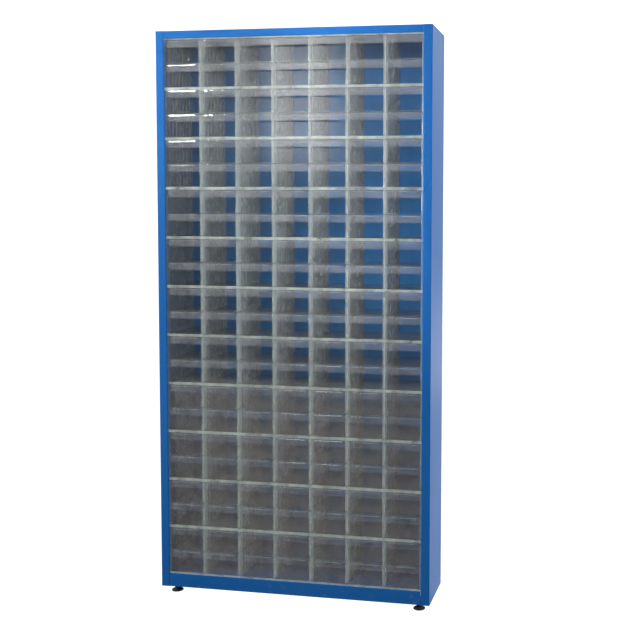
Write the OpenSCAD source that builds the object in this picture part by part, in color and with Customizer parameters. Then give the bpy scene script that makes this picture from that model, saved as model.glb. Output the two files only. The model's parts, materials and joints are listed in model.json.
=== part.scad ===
// Parts bin cabinet: a folded sheet-steel casing on four levelling feet, filled with
// clear moulded modules. Each module is a sleeve that holds two clear drawers.
// Millimetres, +Z up, the front faces -Y. The origin is the centre of the footprint
// on the floor. Drawer rows are numbered from the top, columns from the left.

/* [Grid] */
// Modules side by side
columns = 7; // [4:1:7]
// Modules on top of each other, two drawer rows each
module_rows = 11; // [7:1:11]
// Topmost of the drawer rows whose drawers are separate nodes
first_single_row = 9; // [1:1:10]
// Number of drawer rows whose drawers are separate nodes
single_rows = 4; // [1:1:4]

/* [Module] */
// Width of a module across its front
module_w = 122.2; // [110:0.1:140]
// Height of a module
module_h = 160.2; // [150:0.1:190]
// Depth of a module
module_d = 199; // [170:1:240]
// Gap between modules, and between a module and what it stands on
module_gap = 0.3; // [0.2:0.05:0.5]
// Thickness of the sleeve's outer walls at its front
rim_t = 4.2; // [4:0.1:6]
// Thickness of its side walls at the back, where their outsides draw in
sleeve_t = 1.8; // [1.4:0.1:2.2]
// Shelf between the two drawers
shelf_t = 2.2; // [1.8:0.1:3]
// Distance of the stop lip over a drawer behind the module's front
lip_set = 6; // [4:0.5:10]
// How far the stop lip hangs down
lip_h = 1.8; // [1.2:0.1:2.2]
// Thickness of the stop lip, front to back
lip_t = 2; // [1.5:0.1:3]

/* [Drawer] */
// Gap beside a drawer
side_clear = 0.5; // [0.3:0.1:0.8]
// Gap between a drawer and what it slides on
slide_clear = 0.3; // [0.2:0.05:0.5]
// Gap between a drawer's walls and the stop lips above them
lip_clear = 0.5; // [0.4:0.1:0.8]
// Distance of a closed drawer's back from the module's back edge
rear_clear = 1.5; // [1:0.1:3]
// How far a drawer opens
travel = 150; // [100:1:150]
// Walls and floor of a drawer
drawer_t = 1.8; // [1.4:0.1:2.2]
// Height of the label band across the drawer's front
band_h = 22; // [18:1:28]
// How far the band stands proud of the front wall
band_d = 4.5; // [3:0.1:6]
// Width of the label holder on the band
holder_w = 92; // [60:1:96]
// Height of a rail of the label holder
holder_rail_h = 2.6; // [2:0.1:4]
// How far the label holder stands proud of the band
holder_d = 1.4; // [1:0.1:2]
// Distance from the stop tabs to the slope behind them
tab_set = 11.2; // [2:0.1:14]
// Length of the slope from the drawer's top edge down to its back wall
slope_d = 16; // [8:1:24]
// Height of the drawer's back wall
drawer_back_h = 60; // [40:1:64]
// Spacing of the divider ribs inside the drawer
rib_pitch = 25; // [20:0.5:50]
// Width of a divider rib
rib_w = 2.4; // [1:0.1:4]
// How far a divider rib stands out
rib_h = 1.3; // [0.8:0.1:2]

/* [Casing] */
// Thickness of the casing sheet
sheet_t = 1.2; // [0.8:0.1:1.5]
// Inner radius of the folds
fold_r = 1; // [0.6:0.1:2]
// Width of the front flange at each side
side_rim = 28.6; // [26:0.1:40]
// Height of the front flange at the top
top_rim = 24.2; // [20:0.1:40]
// Height of the front flange at the bottom
bottom_rim = 45; // [40:0.5:70]
// Depth of the lip that turns back behind each front flange
return_d = 20; // [14:1:26]
// Width of the rear flange of each side
rear_flange = 15; // [14:0.5:22]
// How far the modules sit behind the front flanges
front_recess = 2.4; // [1:0.1:4]
// Thickness of the back panel
back_t = 1; // [0.8:0.1:1.5]
// Gap at the seams of the casing
seam = 0.1; // [0.05:0.05:0.2]
// Width of the flange behind the back panel's top edge
top_flange = 20; // [16:0.5:24]

/* [Fasteners] */
// Diameter of a rivet's shank
rivet_d = 4; // [3:0.1:4.8]
// Diameter of a rivet's head
rivet_head_d = 8; // [6:0.1:9.5]
// Height of a rivet's head
rivet_head_h = 1.1; // [0.8:0.1:1.5]
// Largest spacing of the rivets
rivet_pitch = 230; // [120:10:400]
// Radial gap round a rivet's shank
rivet_gap = 0.05; // [0.02:0.01:0.1]
// Diameter of the two wall-fixing holes
wall_hole_d = 7; // [5:0.5:8]
// Depth of the wall-fixing holes below the top
wall_hole_drop = 60; // [40:1:200]

/* [Feet] */
// Height of the casing over the floor
foot_h = 25; // [22:0.5:40]
// Distance of a foot's axis from the side
foot_inset_x = 40; // [38:0.5:60]
// Distance of a foot's axis from the front or back
foot_inset_y = 36; // [34:0.5:50]
// Diameter of a foot's pad
pad_d = 39; // [30:0.5:50]
// Height of the pad's straight edge
pad_edge_h = 3; // [2:0.1:5]
// Height of the pad with its cone
pad_h = 11; // [8:0.5:14]
// Width across the flats of the foot's hexagon
foot_hex_w = 17; // [13:0.5:19]
// Height of the foot's hexagon
foot_hex_h = 5; // [3:0.5:6]
// Diameter of the foot's stud
stud_d = 8; // [6:0.5:10]
// Length of stud over the gusset's underside
stud_reach = 22; // [14:1:30]
// Radial gap round the stud in its nuts
stud_gap = 0.05; // [0.02:0.01:0.1]
// Thickness of the gusset that carries a foot
gusset_t = 3; // [2:0.5:4]
// Size of a gusset, side to side
gusset_w = 52; // [40:1:60]
// Size of a gusset, front to back
gusset_d = 64; // [56:1:70]
// Height of a nut
nut_h = 5; // [4:0.1:6.5]
// Width across the flats of a nut
nut_w = 13; // [11:0.5:15]

/* [Hidden] */
drawer_rows = 2 * module_rows;
pitch_x = module_w + module_gap;
pitch_z = module_h + module_gap;
field_w = columns * pitch_x + module_gap;
field_h = module_rows * pitch_z + module_gap;
body_w = field_w + 2 * side_rim;
body_h = field_h + top_rim + bottom_rim;
body_top = foot_h + body_h;
// front face, rear flange, back panel and module faces along Y
body_d = front_recess + module_d + module_gap + back_t + sheet_t + rivet_head_h;
front_y = -body_d / 2;
rear_y = body_d / 2 - rivet_head_h;
back_y = rear_y - sheet_t;
module_y = front_y + front_recess;
flange_y = back_y - back_t - seam;
floor_z = foot_h + bottom_rim;
// a compartment of a module
bay_w = module_w - 2 * rim_t;
bay_h = (module_h - 2 * rim_t - shelf_t) / 2;
lip_y = lip_set + lip_t;
// a drawer, in its own frame: its middle, its front plane and its underside are zero
drawer_w = bay_w - 2 * side_clear;
drawer_h = bay_h - slide_clear - lip_h - lip_clear;
drawer_set = 0.5;
drawer_d = module_d - rear_clear - drawer_set;
wall_y = holder_d + band_d;
band_z = drawer_h - band_h;
tab_y = lip_y + travel + slide_clear - drawer_set;
tab_d = 6;
tab_top = bay_h - 2 * slide_clear;
// chamfer of the front's top edge, and how deep what stands on a wall is rooted in it
edge = 0.8;
root = 0.5;
// how far a cut runs past the faces that it opens
past = 1;
fold_steps = 4;
round_fn = 48;
steel = "#2a66b0";
clear_ps = "#b9c4c6";
dark = "#262626";

SINGLES = [for (r = [first_single_row : first_single_row + single_rows - 1]) r];
ROWS = [for (r = [1 : drawer_rows]) if (len(search(r, SINGLES)) == 0) r];
COLS = [for (c = [1 : columns]) c];
FEET = [
    ["foot_front_left", -1, -1], ["foot_front_right", 1, -1],
    ["foot_rear_left", -1, 1], ["foot_rear_right", 1, 1]
];
function two(n) = str(n < 10 ? "0" : "", n);
function drawer_name(r, c) = str("drawer_", two(r), "_", c);
function row_name(r) = str("drawer_row_", two(r));

// ---- folded sheet ----

function unit(v) = v / norm(v);
function left_of(v) = [-v[1], v[0]];

// Points round the fold at corner p, where direction a turns into b. r is the radius
// on this side of the sheet, and turn is 1 for a left turn and -1 for a right one.
function fold_arc(p, a, b, r, turn) =
    let (c = p + r * (b - a), from = atan2(-turn * left_of(a)[1], -turn * left_of(a)[0]))
    [for (i = [0 : fold_steps]) c + r * [cos(from + turn * 90 * i / fold_steps),
                                         sin(from + turn * 90 * i / fold_steps)]];

// Outline of a sheet folded at right angles along a path, on the path's left side
function folded(path, t, r) =
    let (n = len(path),
         d = [for (i = [0 : n - 2]) unit(path[i + 1] - path[i])],
         turn = [for (i = [1 : n - 2]) sign(d[i - 1][0] * d[i][1] - d[i - 1][1] * d[i][0])],
         near = [for (i = [1 : n - 2]) each fold_arc(
             path[i], d[i - 1], d[i], turn[i - 1] > 0 ? r + t : r, turn[i - 1])],
         far = [for (i = [n - 2 : -1 : 1])
             let (q = path[i] + t * (left_of(d[i - 1]) + left_of(d[i])),
                  a = fold_arc(q, d[i - 1], d[i], turn[i - 1] > 0 ? r : r + t, turn[i - 1]))
             each [for (k = [fold_steps : -1 : 0]) a[k]]])
    concat([path[0]], near, [path[n - 1]], [path[n - 1] + t * left_of(d[n - 2])],
           far, [path[0] + t * left_of(d[0])]);

// Extrudes a Y-Z outline along X, centred
module along_x(w) {
    translate([-w / 2, 0, 0]) rotate([90, 0, 90]) linear_extrude(w) children();
}

// ---- casing ----

// Rivet places [x, z]: both side flanges, and the top and bottom flanges
side_rivet_n = ceil((body_h - 2 * bottom_rim) / rivet_pitch);
edge_rivet_n = ceil((body_w - 4 * side_rim) / rivet_pitch);
side_rivets = [for (s = [-1, 1], i = [0 : side_rivet_n])
    [s * (body_w / 2 - rear_flange / 2),
     foot_h + bottom_rim + i * (body_h - 2 * bottom_rim) / side_rivet_n]];
edge_rivets = [for (z = [foot_h + bottom_rim / 2, body_top - top_flange / 2], i = [0 : edge_rivet_n])
    [-body_w / 2 + 2 * side_rim + i * (body_w - 4 * side_rim) / edge_rivet_n, z]];
wall_holes = [for (s = [-1, 1])
    [s * (field_w / 2 + (side_rim - rear_flange) / 2), body_top - wall_hole_drop]];

module holes_y(places, d) {
    for (p = places)
        translate([p[0], back_y + sheet_t + past, p[1]])
            rotate([90, 0, 0]) cylinder(d = d, h = 2 * (sheet_t + back_t + past), $fn = round_fn);
}

// Left side: rear flange, side, front flange and the lip behind it, in one sheet
module side_left() {
    color(steel) difference() {
        translate([0, 0, foot_h]) linear_extrude(body_h - sheet_t - seam) polygon(folded([
            [-body_w / 2 + rear_flange, rear_y],
            [-body_w / 2, rear_y],
            [-body_w / 2, front_y],
            [-field_w / 2, front_y],
            [-field_w / 2, front_y + return_d]
        ], sheet_t, fold_r));
        holes_y([for (p = side_rivets) if (p[0] < 0) p], rivet_d + 2 * rivet_gap);
    }
}

module side_right() {
    mirror([1, 0, 0]) side_left();
}

// Top: a sheet over both sides, folded down at the front and, inside the back panel, at the rear
module top_panel() {
    color(steel) difference() {
        union() {
            along_x(field_w - 2 * seam) polygon(folded([
                [flange_y, body_top - top_flange],
                [flange_y, body_top],
                [front_y, body_top],
                [front_y, body_top - top_rim],
                [front_y + return_d, body_top - top_rim]
            ], sheet_t, fold_r));
            for (left = [-body_w / 2, body_w / 2 - side_rim - seam])
                translate([left, front_y, body_top - sheet_t])
                    cube([side_rim + seam, flange_y - front_y, sheet_t]);
        }
        holes_y(edge_rivets, rivet_d + 2 * rivet_gap);
    }
}

// Bottom: the floor that the modules stand on, folded down to a plinth at the front and rear
module bottom_panel() {
    color(steel) difference() {
        union() {
            along_x(field_w - 2 * seam) polygon(folded([
                [flange_y - return_d, foot_h],
                [flange_y, foot_h],
                [flange_y, floor_z],
                [front_y, floor_z],
                [front_y, foot_h],
                [front_y + return_d, foot_h]
            ], sheet_t, fold_r));
            translate([-body_w / 2 + sheet_t + seam, front_y + return_d + seam, floor_z - sheet_t])
                cube([body_w - 2 * (sheet_t + seam),
                      flange_y - front_y - return_d - seam - sheet_t - fold_r, sheet_t]);
        }
        holes_y(edge_rivets, rivet_d + 2 * rivet_gap);
    }
}

// Back panel between the side flanges and the folded-down edges of the top and bottom
module back_panel() {
    color(steel) difference() {
        translate([-body_w / 2 + sheet_t + fold_r, back_y - back_t, foot_h])
            cube([body_w - 2 * (sheet_t + fold_r), back_t, body_h]);
        holes_y(concat(side_rivets, edge_rivets), rivet_d + 2 * rivet_gap);
        holes_y(wall_holes, wall_hole_d);
    }
}

// A blind rivet with its head at y = 0 facing +Y, and its set tail inside
module rivet(grip) {
    tail_r = rivet_d / 2 + 0.7;
    tail_h = 1.6;
    edge_h = 0.25;
    rotate([-90, 0, 0]) rotate_extrude($fn = round_fn) polygon([
        [0, -grip - tail_h], [tail_r, -grip - 0.75 * tail_h], [tail_r, -grip - rivet_gap],
        [rivet_d / 2, -grip - rivet_gap], [rivet_d / 2, rivet_gap], [rivet_head_d / 2, rivet_gap],
        [rivet_head_d / 2, edge_h], [rivet_head_d / 3, 0.8 * rivet_head_h],
        [rivet_head_d / 8, rivet_head_h], [0, rivet_head_h]
    ]);
}

module back_rivets() {
    color("silver") {
        for (p = side_rivets)
            translate([p[0], rear_y, p[1]]) rivet(sheet_t + back_t);
        for (p = edge_rivets)
            translate([p[0], back_y, p[1]]) rivet(back_t + seam + sheet_t);
    }
}

// ---- feet ----

module at_feet() {
    for (f = FEET) at_foot(f) children();
}

module at_foot(f) {
    translate([f[1] * (body_w / 2 - foot_inset_x), f[2] * (-front_y - foot_inset_y), 0]) children();
}

gusset_z = foot_h + sheet_t + seam;
foot_hex_top = pad_h + foot_hex_h;

module stud_hole() {
    cylinder(d = stud_d + 2 * stud_gap, h = 2 * foot_h + stud_reach, $fn = round_fn);
}

// Plates welded over the flanges in the bottom corners, each with a hole for a foot's stud
module foot_gussets() {
    color(steel) for (f = FEET) difference() {
        translate([f[1] * (field_w / 2 - seam - gusset_w / 2),
                   f[2] < 0 ? front_y + sheet_t + fold_r + gusset_d / 2
                            : flange_y - sheet_t - fold_r - gusset_d / 2,
                   gusset_z + gusset_t / 2])
            cube([gusset_w, gusset_d, gusset_t], center = true);
        at_foot(f) stud_hole();
    }
}

module nuts(z) {
    color("silver") at_feet() difference() {
        translate([0, 0, z]) cylinder(d = nut_w / cos(30), h = nut_h, $fn = 6);
        stud_hole();
    }
}

module foot_weld_nuts() {
    nuts(gusset_z + gusset_t + seam);
}

module foot_lock_nuts() {
    nuts(gusset_z - seam - nut_h);
}

// Levelling foot: a pad with a cone and a hexagon to turn it by, moulded on its stud
module foot(f) {
    chamfer = 1;
    shoulder = [1.5, 0.8];
    color(dark) at_foot(f) {
        rotate_extrude($fn = round_fn) polygon([
            [0, 0], [pad_d / 2 - chamfer, 0], [pad_d / 2, chamfer], [pad_d / 2, pad_edge_h],
            [pad_d / 2 - shoulder[0], pad_edge_h + shoulder[1]],
            [foot_hex_w / 2 + chamfer, pad_h - chamfer], [foot_hex_w / 2, pad_h], [0, pad_h]
        ]);
        translate([0, 0, pad_h]) cylinder(d = foot_hex_w / cos(30), h = foot_hex_h, $fn = 6);
        translate([0, 0, foot_hex_top])
            cylinder(d = stud_d, h = gusset_z + stud_reach - foot_hex_top, $fn = round_fn);
    }
}

// ---- modules ----

// One module, its middle at x = 0, its front at y = 0 and its underside at z = 0. It is a
// sleeve open at both ends, flat on top and below, whose side walls thin towards the back.
module module_sleeve() {
    back_w = bay_w + 2 * sleeve_t;
    difference() {
        linear_extrude(module_h) polygon([
            [-module_w / 2, 0], [module_w / 2, 0], [back_w / 2, module_d], [-back_w / 2, module_d]
        ]);
        for (z = [rim_t, rim_t + bay_h + shelf_t])
            translate([-bay_w / 2, -past, z]) cube([bay_w, module_d + 2 * past, bay_h]);
    }
    for (top = [rim_t + bay_h, module_h - rim_t])
        translate([-back_w / 2 + sleeve_t / 2, lip_set, top - lip_h])
            cube([back_w - sleeve_t, lip_t, lip_h + shelf_t / 2]);
}

function column_x(c) = (c - (columns + 1) / 2) * pitch_x;
function module_z(m) = floor_z + module_gap + (module_rows - m) * pitch_z;

module module_sleeves() {
    color(clear_ps, 0.5) for (m = [1 : module_rows], c = COLS)
        translate([column_x(c), module_y, module_z(m)]) module_sleeve();
}

// ---- drawers ----

// Side view of a drawer: floor, front wall, and the label band with a rounded underside
module drawer_side() {
    slope_y = tab_y + tab_d + tab_set;
    slope = [[slope_y, drawer_h], [slope_y + slope_d, drawer_back_h]];
    heel = [3, 5];
    polygon(concat(
        [[wall_y, 0]],
        [for (a = [0 : 30 : 90]) [wall_y - band_d * (1 - cos(a)), band_z - band_d * (1 - sin(a))]],
        [[holder_d, drawer_h - edge], [holder_d + edge, drawer_h]],
        [for (p = slope) if (p[0] < drawer_d) p],
        [[drawer_d, lookup(drawer_d, slope)], [drawer_d, heel[1]], [drawer_d - heel[0], 0]]
    ));
}

// Plan of the space inside a drawer, with a row of divider ribs along each side
rib_n = floor((drawer_d - wall_y - 3 * drawer_t - rib_pitch) / rib_pitch);
function ribs(side, from_front) =
    [for (i = [0 : rib_n - 1])
        let (k = from_front ? i : rib_n - 1 - i, y = wall_y + drawer_t + rib_pitch * (k + 1),
             w = from_front ? rib_w : -rib_w, x = side * (drawer_w / 2 - drawer_t))
        each [[x, y - w / 2], [x - side * rib_h, y], [x, y + w / 2]]];

module drawer_inside() {
    x = drawer_w / 2 - drawer_t;
    polygon(concat(
        [[-x, wall_y + drawer_t], [x, wall_y + drawer_t]], ribs(1, true),
        [[x, drawer_d - drawer_t], [-x, drawer_d - drawer_t]], ribs(-1, false)
    ));
}

// One drawer, its middle at x = 0, its front plane at y = 0 and its underside at z = 0
module drawer() {
    difference() {
        along_x(drawer_w) drawer_side();
        translate([0, 0, drawer_t]) linear_extrude(drawer_h) drawer_inside();
        translate([-drawer_w / 2 + drawer_t, holder_d + drawer_t, band_z + drawer_t])
            cube([drawer_w - 2 * drawer_t, band_d + drawer_t, band_h]);
    }
    for (z = [band_z, drawer_h - edge - holder_rail_h])
        along_x(holder_w) polygon([
            [holder_d + root, z], [holder_d, z], [0, z + 0.3 * holder_rail_h],
            [0, z + holder_rail_h], [holder_d + root, z + holder_rail_h]
        ]);
    for (left = [-drawer_w / 2, drawer_w / 2 - drawer_t])
        translate([left, tab_y, drawer_h - root])
            cube([drawer_t, tab_d, tab_top - drawer_h + root]);
}

// Places a drawer in its bay. Odd rows are the upper bays.
module drawer_at(r, c) {
    z = module_z(ceil(r / 2)) + rim_t + (r % 2 == 1 ? bay_h + shelf_t : 0) + slide_clear;
    color(clear_ps, 0.6) translate([column_x(c), module_y + drawer_set, z]) drawer();
}

side_left();
side_right();
top_panel();
bottom_panel();
back_panel();
back_rivets();
foot_gussets();
foot_weld_nuts();
foot_lock_nuts();
for (f = FEET) foot(f);
module_sleeves();
for (r = SINGLES, c = COLS) drawer_at(r, c);
for (r = ROWS) for (c = COLS) drawer_at(r, c);
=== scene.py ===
"""Looks of a parts bin cabinet: a blue sheet-steel casing full of clear moulded modules,
each with an upper and a lower clear drawer. Metres, +Z up, the drawer fronts face -Y."""
import json
import math
import re

import bpy
from mathutils import Euler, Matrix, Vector


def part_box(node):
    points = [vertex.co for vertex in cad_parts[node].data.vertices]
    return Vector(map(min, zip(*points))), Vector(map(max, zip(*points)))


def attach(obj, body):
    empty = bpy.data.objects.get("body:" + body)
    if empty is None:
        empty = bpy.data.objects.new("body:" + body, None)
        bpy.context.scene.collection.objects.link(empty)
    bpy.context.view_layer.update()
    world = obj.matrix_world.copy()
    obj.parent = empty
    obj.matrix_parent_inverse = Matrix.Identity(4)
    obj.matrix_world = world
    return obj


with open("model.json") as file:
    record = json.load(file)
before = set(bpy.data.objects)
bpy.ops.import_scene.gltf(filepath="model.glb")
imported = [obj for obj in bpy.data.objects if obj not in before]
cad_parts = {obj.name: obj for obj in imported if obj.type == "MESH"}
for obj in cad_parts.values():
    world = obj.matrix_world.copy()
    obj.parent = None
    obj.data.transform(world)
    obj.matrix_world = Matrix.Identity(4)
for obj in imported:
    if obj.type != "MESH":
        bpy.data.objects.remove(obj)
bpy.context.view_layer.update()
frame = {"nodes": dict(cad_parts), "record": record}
nodes = frame["nodes"]

# ---- Camera ----
# A view from the right, slightly above the middle, with the lens shifted so that the
# sides of the cabinet stay nearly upright.

IMAGE_PX = 641
camera_at = (1.037, -3.100, 1.272)
focal_px = 978.0
middle_px = (448.7, 278.8)
turn_left, look_down, roll = 0.1731, 0.0647, 0.0072
sensor_mm = 36.0
farthest_seen = 60.0

lens = bpy.data.cameras.new("studio_camera")
lens.sensor_width = sensor_mm
lens.lens = sensor_mm * focal_px / IMAGE_PX
lens.shift_x = (IMAGE_PX / 2 - middle_px[0]) / IMAGE_PX
lens.shift_y = (middle_px[1] - IMAGE_PX / 2) / IMAGE_PX
lens.clip_end = farthest_seen
camera = bpy.data.objects.new("studio_camera", lens)
camera.location = camera_at
camera.rotation_euler = (
    Euler((math.pi / 2 - look_down, 0.0, turn_left), "XYZ").to_matrix()
    @ Euler((0.0, 0.0, roll), "XYZ").to_matrix()
).to_euler()
bpy.context.scene.collection.objects.link(camera)
bpy.context.scene.camera = camera

# ---- Casing ----
# Folded 1.2 mm sheet steel, welded at the corners and powder coated in a satin blue.
# The coat has a fine orange peel, fades a little in patches and is scuffed low down.

casing_blue = (0.009, 0.128, 0.430, 1.0)
casing_faded = (0.014, 0.142, 0.450, 1.0)
# The back panel's coat is a lighter, greener copy of the same paint: painted light, standing in
# for the light that reaches the back through the drawers.
back_blue_lit = (0.012, 0.155, 0.420, 1.0)
back_faded_lit = (0.018, 0.175, 0.455, 1.0)
bare_grey = (0.16, 0.19, 0.23, 1.0)
fading_per_m, fading_detail = 2.3, 3.0
fading_from, fading_to, most_faded = 0.35, 0.65, 0.6
scuffs_per_m, scuff_detail, scuff_grit = 46.0, 6.0, 0.7
scuff_height = 0.30
scuff_limits = (0.60, 0.78)
scuff_share = 0.35
peel_per_m, peel_detail = 520.0, 2.0
peel_depth, peel_strength = 0.0004, 0.25
coat_roughness = (0.34, 0.50)
coat_gloss = 0.15


def feed(tree, socket, term):
    """Gives an input a value, or links it to the output of another node."""
    if isinstance(term, bpy.types.NodeSocket):
        tree.links.new(term, socket)
    else:
        socket.default_value = term


def add_node(tree, kind, terms=(), **settings):
    """A node with its settings, and with its inputs fed by name or number."""
    made = tree.nodes.new(kind)
    for label, value in settings.items():
        setattr(made, label, value)
    for label, term in dict(terms).items():
        feed(tree, made.inputs[label], term)
    return made


def new_group(name, inputs, outputs):
    """A shader node group with named sockets, and what goes into it and comes out of it."""
    group = bpy.data.node_groups.new(name, "ShaderNodeTree")
    for label, value in inputs.items():
        kind = "NodeSocketColor" if isinstance(value, tuple) else "NodeSocketFloat"
        socket = group.interface.new_socket(name=label, in_out="INPUT", socket_type=kind)
        socket.default_value = value
    for label in outputs:
        kind = "NodeSocketColor" if label == "Colour" else "NodeSocketFloat"
        group.interface.new_socket(name=label, in_out="OUTPUT", socket_type=kind)
    given = group.nodes.new("NodeGroupInput").outputs
    return group, given, group.nodes.new("NodeGroupOutput").inputs


def reckon(tree, operation, *terms, **settings):
    """The result of a Math node on numbers and sockets."""
    made = add_node(tree, "ShaderNodeMath", enumerate(terms), operation=operation, **settings)
    return made.outputs[0]


def ranged(tree, value, start, end, low, high):
    """A value carried over from one range to another and held at its ends."""
    return add_node(tree, "ShaderNodeMapRange", {
        "Value": value, "From Min": start, "From Max": end, "To Min": low, "To Max": high,
    }).outputs["Result"]


def blend(tree, share, first, second):
    """A colour between two others."""
    return add_node(tree, "ShaderNodeMix", {"Factor": share, 6: first, 7: second},
                    data_type="RGBA").outputs[2]


def noise(tree, place, per_m, detail, roughness=0.5):
    """Cloudy noise with so many clouds to the metre."""
    return add_node(tree, "ShaderNodeTexNoise", {
        "Vector": place, "Scale": per_m, "Detail": detail, "Roughness": roughness,
    }).outputs["Fac"]


def object_place(tree):
    """Where a point lies in its object."""
    return add_node(tree, "ShaderNodeTexCoord").outputs["Object"]


def parts_of(tree, vector):
    """The X, Y and Z of a vector."""
    return add_node(tree, "ShaderNodeSeparateXYZ", {"Vector": vector}).outputs


coat, given, result = new_group(
    "powder_coat",
    {"Colour": casing_blue, "Faded": casing_faded, "Bare": bare_grey,
     "Peel per metre": peel_per_m, "Scuff height": scuff_height},
    ("Colour", "Roughness", "Height"))
place = object_place(coat)
drift = noise(coat, place, fading_per_m, fading_detail)
fade = ranged(coat, drift, fading_from, fading_to, 0.0, most_faded)
even = blend(coat, fade, given["Colour"], given["Faded"])
height = parts_of(coat, place)["Z"]
scuff_limit = ranged(coat, height, 0.0, given["Scuff height"], *scuff_limits)
marks = noise(coat, place, scuffs_per_m, scuff_detail, scuff_grit)
scuffed = reckon(coat, "GREATER_THAN", marks, scuff_limit)
worn = blend(coat, reckon(coat, "MULTIPLY", scuffed, scuff_share), even, given["Bare"])
feed(coat, result["Colour"], worn)
feed(coat, result["Roughness"], ranged(coat, drift, 0.0, 1.0, *coat_roughness))
feed(coat, result["Height"], noise(coat, place, given["Peel per metre"], peel_detail))


def new_material(name):
    """A material with only its Principled shader and its output."""
    made = bpy.data.materials.new(name)
    made.use_nodes = True
    shader = next(n for n in made.node_tree.nodes if n.type == "BSDF_PRINCIPLED")
    output = next(n for n in made.node_tree.nodes if n.type == "OUTPUT_MATERIAL")
    return made, made.node_tree, shader, output


def cover(tree, shader, group, values=()):
    """Puts a finish's node group in a material and joins its colour and roughness."""
    skin = add_node(tree, "ShaderNodeGroup", values, node_tree=group).outputs
    feed(tree, shader.inputs["Base Color"], skin["Colour"])
    feed(tree, shader.inputs["Roughness"], skin["Roughness"])
    return skin


def bump_from(tree, shader, height, depth, strength):
    """Turns a height into the shader's normal."""
    bump = add_node(tree, "ShaderNodeBump",
                    {"Height": height, "Distance": depth, "Strength": strength})
    feed(tree, shader.inputs["Normal"], bump.outputs["Normal"])


def dress(node_name, material):
    """Gives a CAD node its material."""
    nodes[node_name].data.materials.clear()
    nodes[node_name].data.materials.append(material)


for label, panels, shades in (
    ("blue_powder_coat",
     ("side_left", "side_right", "top_panel", "bottom_panel", "foot_gussets"), {}),
    # The back panel takes the lighter copy of the coat, painted light for the blue seen through
    # the drawers.
    ("back_powder_coat_lit", ("back_panel",), {"Colour": back_blue_lit, "Faded": back_faded_lit}),
):
    blue_steel, tree, shader, _ = new_material(label)
    shader.inputs["Specular IOR Level"].default_value = coat_gloss
    skin = cover(tree, shader, coat, shades)
    bump_from(tree, shader, skin["Height"], peel_depth, peel_strength)
    for name in panels:
        dress(name, blue_steel)

# ---- Rivets and nuts ----
# Zinc-plated steel: blind rivets round the back panel, weld nuts and lock nuts at the feet.
# The plating is pale and a little mottled.

zinc_pale = (0.66, 0.67, 0.68, 1.0)
zinc_dull = (0.42, 0.43, 0.44, 1.0)
mottle_per_m, mottle_detail = 420.0, 4.0
zinc_roughness = (0.25, 0.5)

zinc, given, result = new_group(
    "zinc_plating", {"Pale": zinc_pale, "Dull": zinc_dull}, ("Colour", "Roughness"))
mottle = noise(zinc, object_place(zinc), mottle_per_m, mottle_detail)
feed(zinc, result["Colour"], blend(zinc, mottle, given["Dull"], given["Pale"]))
feed(zinc, result["Roughness"], ranged(zinc, mottle, 0.0, 1.0, *zinc_roughness))

zinc_steel, tree, shader, _ = new_material("zinc_plated_steel")
shader.inputs["Metallic"].default_value = 1.0
cover(tree, shader, zinc)
for name in ("back_rivets", "foot_weld_nuts", "foot_lock_nuts"):
    dress(name, zinc_steel)

# ---- Levelling feet ----
# Black nylon pads moulded on steel studs. The moulding is matt with a fine grain, and
# grey dust has settled on the cone.

nylon_black = (0.012, 0.012, 0.013, 1.0)
nylon_dust = (0.09, 0.088, 0.08, 1.0)
dusty_from, dusty_to, most_dust = 0.1, 1.0, 0.5
grain_per_m, grain_detail = 900.0, 3.0
grain_depth, grain_strength = 0.0003, 0.3
nylon_roughness = (0.45, 0.7)

nylon, given, result = new_group(
    "moulded_nylon", {"Black": nylon_black, "Dust": nylon_dust}, ("Colour", "Roughness", "Height"))
grain = noise(nylon, object_place(nylon), grain_per_m, grain_detail)
facing = parts_of(nylon, add_node(nylon, "ShaderNodeNewGeometry").outputs["Normal"])
settled = ranged(nylon, facing["Z"], dusty_from, dusty_to, 0.0, most_dust)
dusty = reckon(nylon, "MULTIPLY", settled, grain)
feed(nylon, result["Colour"], blend(nylon, dusty, given["Black"], given["Dust"]))
feed(nylon, result["Roughness"], ranged(nylon, grain, 0.0, 1.0, *nylon_roughness))
feed(nylon, result["Height"], grain)

black_nylon, tree, shader, _ = new_material("black_nylon")
skin = cover(tree, shader, nylon)
bump_from(tree, shader, skin["Height"], grain_depth, grain_strength)
for name in nodes:
    if re.fullmatch(r"foot_(front|rear)_(left|right)", name):
        dress(name, black_nylon)

# ---- Modules ----
# Clear polystyrene sleeves with two bays each, stacked in columns a hair's breadth apart.
# Thin walls are nearly clear, and the thick front rim gathers light and looks pale green. The
# rim's horizontal bars are much more opaque than its sides, a painted highlight from light above.

sleeve_low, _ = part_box("module_sleeves")
module_pitch = 0.1605
bar_half = 0.0045
rim_depth = 0.006
wall_clear = (0.60, 0.65, 0.62, 1.0)
rim_green = (0.62, 0.70, 0.65, 1.0)
# This grey-brown serves the dust on floors and also the painted floor reflection on the lower
# rows.
dust_and_veil_grey = (0.30, 0.283, 0.265, 1.0)
# Rib faces are dark grey and nearly opaque: painted shade for the dark lines that the clear ribs
# show.
rib_shade_grey = (0.115, 0.125, 0.135, 1.0)
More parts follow.
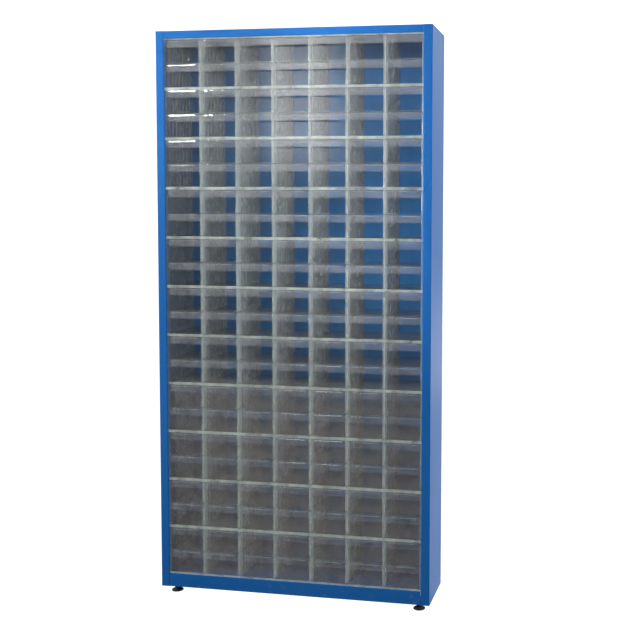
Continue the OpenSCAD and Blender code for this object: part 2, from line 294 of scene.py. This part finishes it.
# The horizontal bars of the rim get a much larger body than its upright sides: a painted highlight
# from light above.
wall_body, rim_body, bar_highlight_body, dust_body, rib_shade_body = 0.004, 0.11, 0.5, 0.04, 0.8
haze_per_m, haze_detail = 34.0, 4.0
haze_from, haze_to, haze_swing = 0.3, 0.7, (0.6, 1.4)
floor_faces, front_faces = 0.9, 0.7
rib_faces, rib_faces_span = 0.62, 0.3
veil_begins, veil_full = 0.74, 0.68
veil_browning = 7.0
moulding_roughness = (0.35, 0.6)
grazing_veil = 0.45
veil_lost_on_floors = 0.6
veil_that_lamps_pass = 0.8
dust_shadow = 0.5
straight_on_mirror = 0.04
mirror_falloff = 5.0
mirror_roughness = 0.13


def between(tree, share, first, second):
    """A number between two others."""
    return add_node(tree, "ShaderNodeMix", {"Factor": share, 2: first, 3: second},
                    data_type="FLOAT").outputs[0]


clear, given, result = new_group(
    "clear_moulding",
    {"Wall": wall_clear, "Edge": rim_green, "Dust": dust_and_veil_grey, "Rib": rib_shade_grey,
     "Edge starts at y": 0.0, "Lowest bar at z": 0.0, "Wall body": wall_body,
     "Edge body": rim_body, "Bar highlight body": bar_highlight_body, "Dust body": dust_body,
     "Rib body": rib_shade_body, "Floor veil": 0.0},
    ("Colour", "Body", "Dusty", "Roughness"))
place = object_place(clear)
spot = parts_of(clear, place)
facing = parts_of(clear, add_node(clear, "ShaderNodeNewGeometry").outputs["Normal"])
haze = noise(clear, place, haze_per_m, haze_detail)

over_bar = reckon(clear, "SUBTRACT", spot["Z"], given["Lowest bar at z"])
from_bar = reckon(clear, "PINGPONG", over_bar, module_pitch / 2)
# The rim's horizontal bars are made more opaque and so paler than its sides: a painted highlight
# from light above.
in_bar = reckon(clear, "LESS_THAN", from_bar, bar_half)
in_edge = reckon(clear, "LESS_THAN", spot["Y"], given["Edge starts at y"])
edge_body = between(clear, in_bar, given["Edge body"], given["Bar highlight body"])
upward = reckon(clear, "GREATER_THAN", facing["Z"], floor_faces)
# Faces slanted like the ribs' flanks get the dark rib grey: painted shade for the ribs' dark
# lines.
across = reckon(clear, "ABSOLUTE", facing["X"])
on_rib = reckon(clear, "COMPARE", across, rib_faces, rib_faces_span)

# Upright faces in the lower rows turn browner and milkier: a painted reflection of the floor.
near_floor = ranged(clear, spot["Z"], veil_begins, veil_full, 0.0, 1.0)
along = reckon(clear, "ABSOLUTE", facing["Y"])
upright = reckon(clear, "GREATER_THAN", along, front_faces)
on_front = reckon(clear, "MULTIPLY", near_floor, upright)
floor_veil = reckon(clear, "MULTIPLY", on_front, given["Floor veil"])
veil_browned = reckon(clear, "MULTIPLY", floor_veil, veil_browning)
shade = blend(clear, veil_browned, given["Wall"], given["Dust"])
body = reckon(clear, "ADD", floor_veil, given["Wall body"])
for where, colour, amount in (
    (upward, given["Dust"], given["Dust body"]),
    (on_rib, given["Rib"], given["Rib body"]),
    (in_edge, given["Edge"], edge_body),
):
    shade = blend(clear, where, shade, colour)
    body = between(clear, where, body, amount)
cloud = ranged(clear, haze, haze_from, haze_to, *haze_swing)
feed(clear, result["Colour"], shade)
feed(clear, result["Body"], reckon(clear, "MULTIPLY", body, cloud))
feed(clear, result["Dusty"], upward)
feed(clear, result["Roughness"], ranged(clear, haze, 0.0, 1.0, *moulding_roughness))


def clear_plastic(name, values):
    """Clear polystyrene: mostly see-through, greyer and glossier where it is seen edge on."""
    made, tree, shader, output = new_material(name)
    skin = cover(tree, shader, clear, values)
    shader.inputs["Specular IOR Level"].default_value = 0.0
    slant = add_node(tree, "ShaderNodeLayerWeight", {"Blend": 0.5}).outputs["Facing"]
    lamp_ray = add_node(tree, "ShaderNodeLightPath").outputs["Is Shadow Ray"]
    inside = add_node(tree, "ShaderNodeNewGeometry").outputs["Backfacing"]
    for_lamps = reckon(tree, "MULTIPLY_ADD", lamp_ray, -veil_that_lamps_pass, 1.0)
    shaded = reckon(tree, "MULTIPLY", lamp_ray, dust_shadow)
    dust_shade = reckon(tree, "MULTIPLY", skin["Dusty"], shaded)
    slant_squared = reckon(tree, "MULTIPLY", slant, slant)
    veil = reckon(tree, "MULTIPLY_ADD", skin["Dusty"], -veil_lost_on_floors * grazing_veil,
                  grazing_veil)
    milky = reckon(tree, "MULTIPLY_ADD", slant_squared, veil, skin["Body"])
    feed(tree, shader.inputs["Alpha"],
         reckon(tree, "MULTIPLY_ADD", milky, for_lamps, dust_shade, use_clamp=True))
    curve = reckon(tree, "POWER", slant, mirror_falloff)
    mirror = reckon(tree, "MULTIPLY_ADD", curve, 1.0 - straight_on_mirror, straight_on_mirror)
    shine = reckon(tree, "MULTIPLY", mirror, reckon(tree, "SUBTRACT", 1.0, inside))
    shine = reckon(tree, "MULTIPLY", shine, for_lamps)
    gloss = add_node(tree, "ShaderNodeBsdfAnisotropic", {"Roughness": mirror_roughness})
    whole = add_node(tree, "ShaderNodeMixShader",
                     {0: shine, 1: shader.outputs[0], 2: gloss.outputs[0]})
    feed(tree, output.inputs["Surface"], whole.outputs[0])
    return made


sleeve_plastic = clear_plastic(
    "sleeve_polystyrene",
    {"Edge starts at y": sleeve_low.y + rim_depth, "Lowest bar at z": sleeve_low.z})
dress("module_sleeves", sleeve_plastic)

# ---- Drawers ----
# Clear polystyrene drawers. The label band across the front stands proud of the wall and
# has a rail above and below, the upper one with a sloped lip. Fine ribs down the sides hold
# dividers. Rows 15 to 22 get a brownish, milkier veil on their upright faces: a painted
# reflection of the floor.

drawer_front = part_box("drawer_09_1")[0].y
band_depth = 0.0045
drawer_clear = (0.60, 0.64, 0.63, 1.0)
band_grey = (0.60, 0.62, 0.65, 1.0)
band_body = 0.10
# Body of the painted floor reflection on the lower rows' upright faces.
floor_veil_body = 0.13

drawer_plastic = clear_plastic(
    "drawer_polystyrene",
    {"Wall": drawer_clear, "Edge": band_grey, "Edge starts at y": drawer_front + band_depth,
     "Lowest bar at z": sleeve_low.z, "Edge body": band_body, "Bar highlight body": band_body,
     "Floor veil": floor_veil_body})
drawers = [name for name in nodes if name.startswith("drawer_")]
for name in drawers:
    dress(name, drawer_plastic)

drawer_wall = 0.0018
drawer_width = 0.1128
column_pitch = 0.1225
wall_sink = 0.0002
half_inside = drawer_width / 2 - drawer_wall + wall_sink
prism_sides = 3
rib_pitch = 0.025
rib_radius = 0.0017 / 1.5  # a three-sided rib stands out by one and a half radii
rib_height = 0.069
ribs_each_side = 7
first_rib_back = 0.0202
floor_over_underside = 0.0020
lip_length = 0.092
lip_radius = 0.00173
lip_tilt = math.radians(-20)
lip_from_front = 0.00025
lip_over_underside = 0.0697

trim_tree = bpy.data.node_groups.new("drawer_trim", "GeometryNodeTree")
for label, kind, value in (
    ("Drawers", "NodeSocketGeometry", None), ("Ribs", "NodeSocketInt", ribs_each_side),
    ("Pitch", "NodeSocketFloat", rib_pitch), ("Radius", "NodeSocketFloat", rib_radius),
    ("Height", "NodeSocketFloat", rib_height), ("Half inside", "NodeSocketFloat", half_inside),
    ("Lip length", "NodeSocketFloat", lip_length), ("Lip radius", "NodeSocketFloat", lip_radius),
    ("Plastic", "NodeSocketMaterial", None),
):
    socket = trim_tree.interface.new_socket(name=label, in_out="INPUT", socket_type=kind)
    if value is not None:
        socket.default_value = value
trim_tree.interface.new_socket(name="Trim", in_out="OUTPUT", socket_type="NodeSocketGeometry")
given = trim_tree.nodes.new("NodeGroupInput").outputs


def grow_node(kind, terms):
    """The geometry that comes out of a node of the trim's tree."""
    return add_node(trim_tree, kind, terms).outputs[0]


def joined(*pieces):
    """Several geometries of the trim's tree in one."""
    together = trim_tree.nodes.new("GeometryNodeJoinGeometry")
    for piece in pieces:
        trim_tree.links.new(piece, together.inputs[0])
    return together.outputs[0]


rib = grow_node("GeometryNodeMeshCylinder", {
    "Vertices": prism_sides, "Radius": given["Radius"], "Depth": given["Height"]})
half_height = reckon(trim_tree, "MULTIPLY", given["Height"], 0.5)
inwards = reckon(trim_tree, "MULTIPLY_ADD", given["Radius"], -0.5, given["Half inside"])
outwards = reckon(trim_tree, "MULTIPLY", inwards, -1.0)
stood = [
    grow_node("GeometryNodeTransform", {
        "Geometry": rib, "Rotation": (0.0, 0.0, turn),
        "Translation": grow_node("ShaderNodeCombineXYZ", {"X": aside, "Z": half_height})})
    for aside, turn in ((outwards, 0.0), (inwards, math.pi))
]
row = grow_node("GeometryNodeMeshLine", {
    "Count": given["Ribs"], "Offset": grow_node("ShaderNodeCombineXYZ", {"Y": given["Pitch"]})})
rib_rows = grow_node("GeometryNodeInstanceOnPoints", {"Points": row, "Instance": joined(*stood)})
ribs_in_drawers = grow_node("GeometryNodeInstanceOnPoints",
                            {"Points": given["Drawers"], "Instance": rib_rows})

lip = grow_node("GeometryNodeMeshCylinder", {
    "Vertices": prism_sides, "Radius": given["Lip radius"], "Depth": given["Lip length"]})
along_x = Euler((math.pi / 2, 0.0, math.pi / 2), "XYZ").to_matrix()
tilted = (Euler((lip_tilt, 0.0, 0.0), "XYZ").to_matrix() @ along_x).to_euler("XYZ")
lip_place = (0.0, lip_from_front - first_rib_back, lip_over_underside - floor_over_underside)
laid = grow_node("GeometryNodeTransform",
                 {"Geometry": lip, "Rotation": tilted, "Translation": lip_place})
lips_on_bands = grow_node("GeometryNodeInstanceOnPoints",
                          {"Points": given["Drawers"], "Instance": laid})

real = grow_node("GeometryNodeRealizeInstances",
                 {"Geometry": joined(ribs_in_drawers, lips_on_bands)})
clothed = grow_node("GeometryNodeSetMaterial", {"Geometry": real, "Material": given["Plastic"]})
trim_tree.links.new(clothed, trim_tree.nodes.new("NodeGroupOutput").inputs[0])


def grown(name, points, tree, **inputs):
    """A plain mesh that a Geometry Nodes tree grows from points, its inputs set by name."""
    seeds = bpy.data.meshes.new(name + "_seeds")
    seeds.from_pydata(points, [], [])
    carrier = bpy.data.objects.new(name + "_carrier", seeds)
    bpy.context.scene.collection.objects.link(carrier)
    modifier = carrier.modifiers.new("grow", "NODES")
    modifier.node_group = tree
    for socket in tree.interface.items_tree:
        if socket.in_out == "INPUT" and socket.name in inputs:
            modifier[socket.identifier] = inputs[socket.name]
    bpy.context.view_layer.update()
    evaluated = carrier.evaluated_get(bpy.context.evaluated_depsgraph_get())
    piece = bpy.data.objects.new(name, bpy.data.meshes.new_from_object(evaluated))
    piece.data.name = name
    bpy.data.objects.remove(carrier)
    bpy.context.scene.collection.objects.link(piece)
    return piece


body_of_node = {node: body for body, members in frame["record"]["behaviour"]["bodies"].items()
                for node in members}
for name in drawers:
    low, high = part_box(name)
    columns = round((high.x - low.x - drawer_width) / column_pitch) + 1
    places = [(low.x + drawer_width / 2 + i * column_pitch, drawer_front + first_rib_back,
               low.z + floor_over_underside) for i in range(columns)]
    ribs = grown("ribs_of_" + name, places, trim_tree, Plastic=drawer_plastic)
    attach(ribs, body_of_node[name])

# ---- Studio ----
# A pale floor and a white surround that the clear plastic sees as a dim room with a bright
# ceiling. Broad lights stand in front, right and behind. A long way off to the left stands
# the one that colours the right-hand drawers. Smaller ones at the left are mirrored.

bpy.context.scene.view_settings.view_transform = "Standard"
bpy.context.scene.cycles.transparent_max_bounces = 32

white = (1, 1, 1, 1)
paper_glow = 1.3
room_tint, room_glow = (0.95, 0.97, 1.0, 1), 0.098
ceiling_tint = (0.93, 0.97, 1.0, 1)
ceiling_from, ceiling_to, ceiling_share = 0.07, 0.16, 0.8


def backdrop(tree, tint, glow):
    """One of the backgrounds that the surround shows."""
    return add_node(tree, "ShaderNodeBackground", {"Color": tint, "Strength": glow}).outputs[0]


def either(tree, share, first, second):
    """A mix of two shaders."""
    return add_node(tree, "ShaderNodeMixShader", {0: share, 1: first, 2: second}).outputs[0]


surround = bpy.data.worlds.new("white_surround")
surround.use_nodes = True
tree = surround.node_tree
tree.nodes.clear()
rays = add_node(tree, "ShaderNodeLightPath").outputs
way_up = parts_of(tree, add_node(tree, "ShaderNodeTexCoord").outputs["Generated"])["Z"]
above = ranged(tree, way_up, ceiling_from, ceiling_to, 0.0, ceiling_share)
mirrored = reckon(tree, "MULTIPLY", above, rays["Is Glossy Ray"])
room = either(tree, mirrored, backdrop(tree, room_tint, room_glow),
              backdrop(tree, ceiling_tint, 1.0))
both = either(tree, rays["Is Camera Ray"], room, backdrop(tree, white, paper_glow))
add_node(tree, "ShaderNodeOutputWorld", {"Surface": both})
bpy.context.scene.world = surround

floor_half = 12.0
floor_tones = (0.20, 0.20, 0.20, 1), (0.23, 0.23, 0.23, 1)
speckles_per_m, speckle_detail = 3.0, 2.0
floor_roughness = 0.9
paper_share = 0.9
sheen_tint = (1.0, 0.94, 0.86, 1)
sheen_from, sheen_to, sheen_in_front, sheen_behind = -0.1, 0.1, 0.22, 1.15

floor_mesh = bpy.data.meshes.new("studio_floor")
corners = [(-floor_half, -floor_half, 0), (floor_half, -floor_half, 0),
           (floor_half, floor_half, 0), (-floor_half, floor_half, 0)]
floor_mesh.from_pydata(corners, [], [(0, 1, 2, 3)])
floor = bpy.data.objects.new("studio_floor", floor_mesh)
bpy.context.scene.collection.objects.link(floor)
pale, tree, shader, output = new_material("pale_floor")
place = object_place(tree)
rays = add_node(tree, "ShaderNodeLightPath").outputs
speckle = noise(tree, place, speckles_per_m, speckle_detail)
tone = blend(tree, speckle, *floor_tones)
feed(tree, shader.inputs["Base Color"], tone)
shader.inputs["Roughness"].default_value = floor_roughness
lit = add_node(tree, "ShaderNodeEmission", {"Color": white, "Strength": paper_glow})
seen = reckon(tree, "MULTIPLY", rays["Is Camera Ray"], paper_share)
paper = either(tree, seen, shader.outputs[0], lit.outputs[0])
sheen = ranged(tree, parts_of(tree, place)["Y"], sheen_from, sheen_to,
               sheen_in_front, sheen_behind)
mirrored = add_node(tree, "ShaderNodeEmission", {"Color": sheen_tint, "Strength": sheen})
paper = either(tree, rays["Is Glossy Ray"], paper, mirrored.outputs[0])
feed(tree, output.inputs["Surface"], paper)
floor_mesh.materials.append(pale)


def soft_box(name, at, towards, size, watts, spread=180):
    """A rectangular studio light aimed at a point, its spread in degrees."""
    light = bpy.data.lights.new(name, "AREA")
    light.shape = "RECTANGLE"
    light.size, light.size_y = size
    light.energy = watts
    light.spread = math.radians(spread)
    lamp = bpy.data.objects.new(name, light)
    lamp.location = at
    lamp.rotation_euler = (Vector(towards) - Vector(at)).to_track_quat("-Z", "Y").to_euler()
    bpy.context.scene.collection.objects.link(lamp)


soft_box("high_front_light", (-0.5, -3.4, 3.1), (0, 0, 1.9), (2.2, 0.9), 6)
soft_box("far_left_light", (-5.4, -2.05, 1.8), (0.2, 0, 1.65), (0.6, 1.0), 50, 56)
soft_box("right_front_light", (2.6, -3.6, 2.1), (0, 0, 2.0), (1.4, 1.4), 7.5, 95)
soft_box("front_light", (0.9, -3.6, 2.3), (0, 0, 1.7), (1.2, 0.9), 5)
soft_box("right_light", (4.2, 0.4, 1.1), (0, 0, 0.9), (2.4, 2.3), 106)
soft_box("rear_right_light", (1.3, 3.6, 1.5), (0.46, 0, 0.9), (1.8, 3.0), 17)
soft_box("rear_light", (-1.8, 3.6, 2.2), (0, 0.1, 0.9), (1.6, 1.6), 45)
soft_box("left_beam_light", (-2.5, -2.5, 2.1), (0.37, 0.1, 1.45), (0.2, 1.1), 1.25, 10)
soft_box("tall_left_light", (-0.80, -2.6, 1.96), (0.06, -0.10, 1.6), (0.44, 0.75), 5.6)
soft_box("high_left_light", (-1.56, -1.79, 3.41), (-0.37, -0.10, 1.65), (0.27, 0.46), 0.31, 10)
soft_box("dim_left_light", (-1.35, -2.55, 1.65), (-0.28, -0.10, 1.50), (0.65, 1.30), 0.65)
